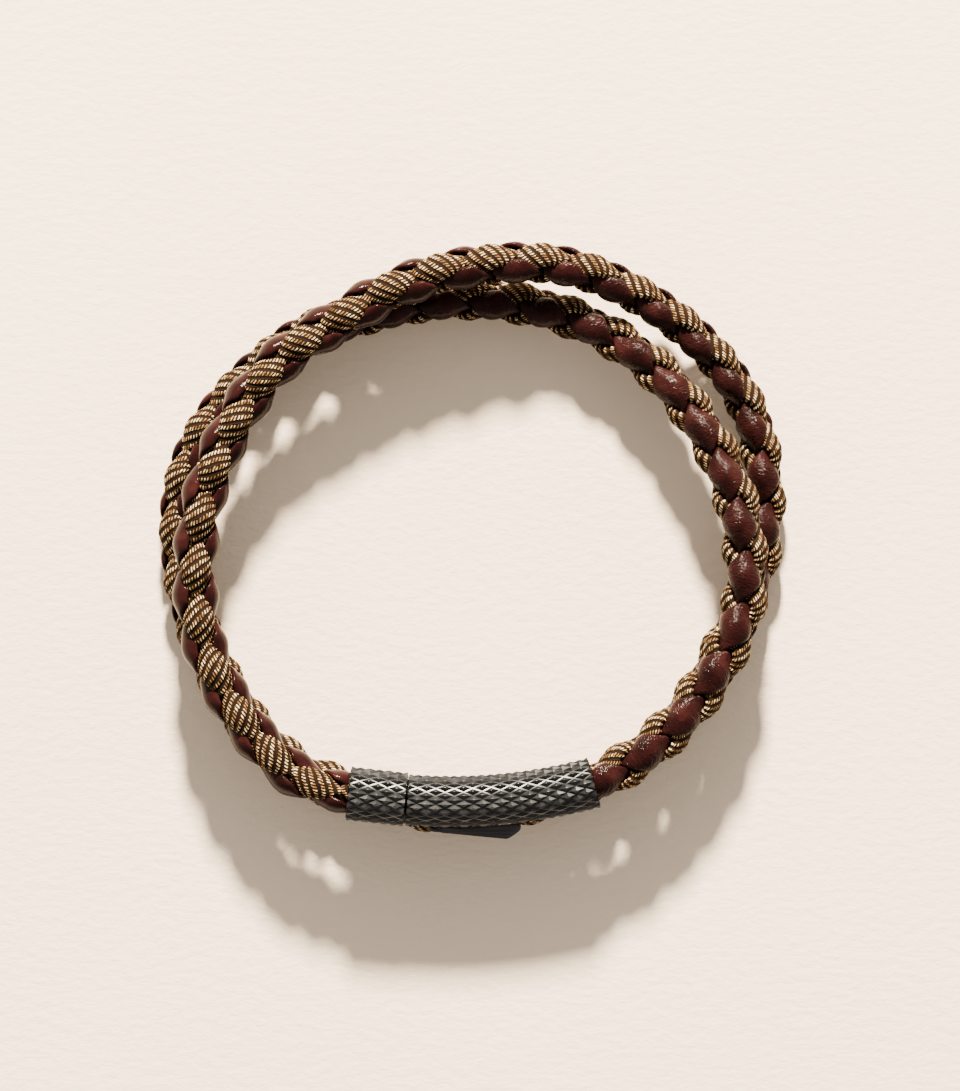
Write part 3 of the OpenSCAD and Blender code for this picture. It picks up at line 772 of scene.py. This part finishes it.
def tube_mesh(name, length, bore_d, bend_r, hub, first_angle, ground):
    """Rings along the arc: up one end face, over the rim, along, down and back through the bore."""
    end = [(0.0, bore_d / 2, PAINTED_SHADE_ENDS), (0.0, ground - RIM_HIGH, PAINTED_SHADE_ENDS),
           (RIM_EDGE, ground + RIM_HIGH, PAINTED_SHADE_ENDS), (RIM, ground + RIM_HIGH, PAINTED_SHADE_ENDS),
           (RIM + RIM_FOOT, ground, PAINTED_SHINE)]
    level = np.linspace(RIM + GROUND_FROM, length - RIM - GROUND_FROM, GROUND_RINGS)
    back = np.linspace(length - BORE_FROM, BORE_FROM, BORE_RINGS)
    outline = (end + [(x, ground, PAINTED_SHINE) for x in level]
               + [(length - x, r, worn) for x, r, worn in end[::-1]]
               + [(x, bore_d / 2, PAINTED_SHINE) for x in back])
    points = []
    for x, r, _ in outline:
        a = first_angle + x / bend_r
        for k in range(TUBE_SIDES):
            v = 2 * math.pi * k / TUBE_SIDES
            arm = bend_r + r * math.cos(v)
            points.append(((hub[0] + arm * math.cos(a)) * mm, (hub[1] + arm * math.sin(a)) * mm,
                           (clasp_z + r * math.sin(v)) * mm))
    faces = []
    for i in range(len(outline)):
        here, there = i * TUBE_SIDES, (i + 1) % len(outline) * TUBE_SIDES
        for k in range(TUBE_SIDES):
            after = (k + 1) % TUBE_SIDES
            faces.append((here + k, here + after, there + after, there + k))
    mesh = bpy.data.meshes.new(name)
    mesh.from_pydata(points, [], faces)
    shape = bmesh.new()
    shape.from_mesh(mesh)
    bmesh.ops.recalc_face_normals(shape, faces=shape.faces)
    shape.to_mesh(mesh)
    shape.free()
    mesh.materials.append(gunmetal)
    for face in mesh.polygons:
        face.use_smooth = True
    mesh.set_sharp_from_angle(angle=SHARP)
    wear = [worn for _, _, worn in outline for _ in range(TUBE_SIDES)]
    mesh.attributes.new("worn", "FLOAT", "POINT").data.foreach_set("value", wear)
    return mesh


print("tubes of", TUBE_SIDES, "sides with rims", RIM, "mm wide")

# %% [markdown]
# ## Joining tube and knurl
# On the real clasp tube and knurl are one piece of metal, so they are joined into one piece here.
# The knurl stops 0.08 mm short of each end, inside the rims, and the bore is 0.2 mm wider than the
# CAD sleeve's, which leaves room for the laces' swell.

# %% A whole sleeve
KNURL_HEIGHT, MARGIN, BORE_ROOM = 0.28, 0.08, 0.2


def joined(name, meshes):
    """One object of several meshes."""
    objects = []
    for mesh in meshes:
        made = bpy.data.objects.new(name, mesh)
        bpy.context.scene.collection.objects.link(made)
        objects.append(made)
    with bpy.context.temp_override(active_object=objects[0], selected_editable_objects=objects,
                                   selected_objects=objects):
        bpy.ops.object.join()
    objects[0].name = name
    return objects[0]


def sleeve(name, length, outer_d, bend_r, hub, first_angle, rows_along, extra=()):
    """A tube with its knurl, and with what is soldered to it."""
    ground = outer_d / 2 - KNURL_HEIGHT
    sizes = {"Length": (length - 2 * MARGIN) * mm, "Rows Along": rows_along,
             "Rows Around": ROWS_AROUND, "Ground Radius": ground * mm,
             "Height": KNURL_HEIGHT * mm, "Start": MARGIN * mm, "Bend Radius": bend_r * mm,
             "Hub": (hub[0] * mm, hub[1] * mm, clasp_z * mm), "First Angle": first_angle,
             "Material": gunmetal}
    knurled = grown(name + "_knurl", pyramid, knurl,
                    {knurl_id[title]: value for title, value in sizes.items()})
    relief = knurled.data
    bpy.data.objects.remove(knurled)
    tube = tube_mesh(name + "_tube", length, outer_d - 2 * sleeve_wall + BORE_ROOM, bend_r, hub,
                     first_angle, ground)
    made = joined(name, [tube, relief, *extra])
    made.data.calc_loop_triangles()
    print(name, len(made.data.loop_triangles), "triangles")
    return made

# %% [markdown]
# ## The hinge pin
# The lever turns on a small headed pin that is soldered into the long sleeve's underside. It is a
# turned part, so its outline is spun by hand, with closed poles. It joins the long sleeve's mesh.

# %% Hinge pin
hinge_from_seam, pin_d, pin_inside, pin_fit, lever_gap = 3.4, 0.8, 0.15, 0.08, 0.12
head_lip, head_h, edge_below, edge_above = 0.3, 0.25, 0.06, 0.05
PIN_SIDES, PIN_WEAR = 32, 0.35
lever_aim = long_aim + math.degrees(hinge_from_seam / long_r)
pin_mid = on_long(hinge_from_seam) - (long_d / 2 - pin_inside) * aim(lever_aim + 90)
lever_z = braid_d + clasp_gap / 2 + lever_gap
pin_reach = long_d / 2 - pin_inside - pin_d / 2
pin_top = clasp_z - math.sqrt((long_d / 2) ** 2 - pin_reach ** 2) + sleeve_wall / 2
low, head_r = lever_z - pin_fit - head_h, pin_d / 2 + head_lip
outline = [(0.0, low), (head_r - edge_below, low), (head_r, low + edge_below),
           (head_r, low + head_h - edge_above), (head_r - edge_above, low + head_h),
           (pin_d / 2, low + head_h), (pin_d / 2, pin_top), (0.0, pin_top)]
turned = bmesh.new()
rings = []
for r, z in outline:
    angles = [2 * math.pi * k / PIN_SIDES for k in range(PIN_SIDES if r else 1)]
    rings.append([turned.verts.new(((pin_mid[0] + r * math.cos(v)) * mm,
                                    (pin_mid[1] + r * math.sin(v)) * mm, z * mm)) for v in angles])
for a, b in zip(rings, rings[1:]):
    for k in range(PIN_SIDES):
        loop = (a[k % len(a)], a[(k + 1) % len(a)], b[(k + 1) % len(b)], b[k % len(b)])
        turned.faces.new(list(dict.fromkeys(loop)))
bmesh.ops.recalc_face_normals(turned, faces=turned.faces)
pin_mesh = bpy.data.meshes.new("hinge_pin")
turned.to_mesh(pin_mesh)
turned.free()
pin_mesh.materials.append(gunmetal)
wear = [PIN_WEAR] * len(pin_mesh.vertices)
pin_mesh.attributes.new("worn", "FLOAT", "POINT").data.foreach_set("value", wear)
print("pin", round(pin_top - low, 2), "mm long")

# %% [markdown]
# ## Both sleeves
# The long sleeve follows the wrist and carries the pin. The short one is straight, so its bend has
# a radius of two metres.

# %% Both sleeves
LONG_ROWS, SHORT_ROWS, STRAIGHT = 20, 6, 2000.0
long_sleeve = sleeve("long_sleeve_knurled", long_len, long_d, long_r, long_hub,
                     math.radians(long_aim - 90), LONG_ROWS, [pin_mesh])
short_hub = short_rim + STRAIGHT * aim(short_aim + 90)
short_sleeve = sleeve("short_sleeve_knurled", short_len, short_d, STRAIGHT, short_hub,
                      math.radians(short_aim - 90), SHORT_ROWS)
for piece, node in ((long_sleeve, "long_sleeve"), (short_sleeve, "short_sleeve")):
    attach(piece, "bracelet")
    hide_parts(node)

# %% [markdown]
# ## The lever
# The lever's form is already right in the CAD node, but a machined part never has knife edges.
# A merged copy gets its upright end corners rounded and a bevel of a tenth of a millimetre all
# over, so its edges catch the light.

# %% Lever
CORNER, EDGE = 0.35 * mm, 0.1 * mm
UPRIGHT, NEAR_END = 2 * mm, 3 * mm  # a corner is taller than this, and this near the free end
shape = bmesh.new()
shape.from_mesh(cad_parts["lever"].data)
bmesh.ops.remove_doubles(shape, verts=shape.verts, dist=1e-6)
bmesh.ops.dissolve_limit(shape, angle_limit=math.radians(1), verts=shape.verts, edges=shape.edges)
end = max(v.co.x for v in shape.verts)
corners = [e for e in shape.edges if abs(e.verts[0].co.z - e.verts[1].co.z) > UPRIGHT
           and min(v.co.x for v in e.verts) > end - NEAR_END]
print("rounded", len(corners), "corners of the lever")
bmesh.ops.bevel(shape, geom=corners, offset=CORNER, segments=4, affect="EDGES", profile=0.5)
lever_mesh = bpy.data.meshes.new("lever_brushed")
shape.to_mesh(lever_mesh)
shape.free()
lever_mesh.materials.append(dark_metal)
for face in lever_mesh.polygons:
    face.use_smooth = True
lever = bpy.data.objects.new("lever_brushed", lever_mesh)
bpy.context.scene.collection.objects.link(lever)
bevel = lever.modifiers.new("broken_edges", "BEVEL")
bevel.width, bevel.segments, bevel.limit_method, bevel.angle_limit = EDGE, 2, "ANGLE", SHARP
bevel.harden_normals = True
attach(lever, "lever")
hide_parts("lever")

# %% [markdown]
# ## The coupling post
# The post inside the sleeves hardly shows, so the CAD node stays and only takes the metal.

# %% Post
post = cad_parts["coupling_post"]
post.data.materials.clear()
post.data.materials.append(gunmetal)
print("coupling_post takes", gunmetal.name)
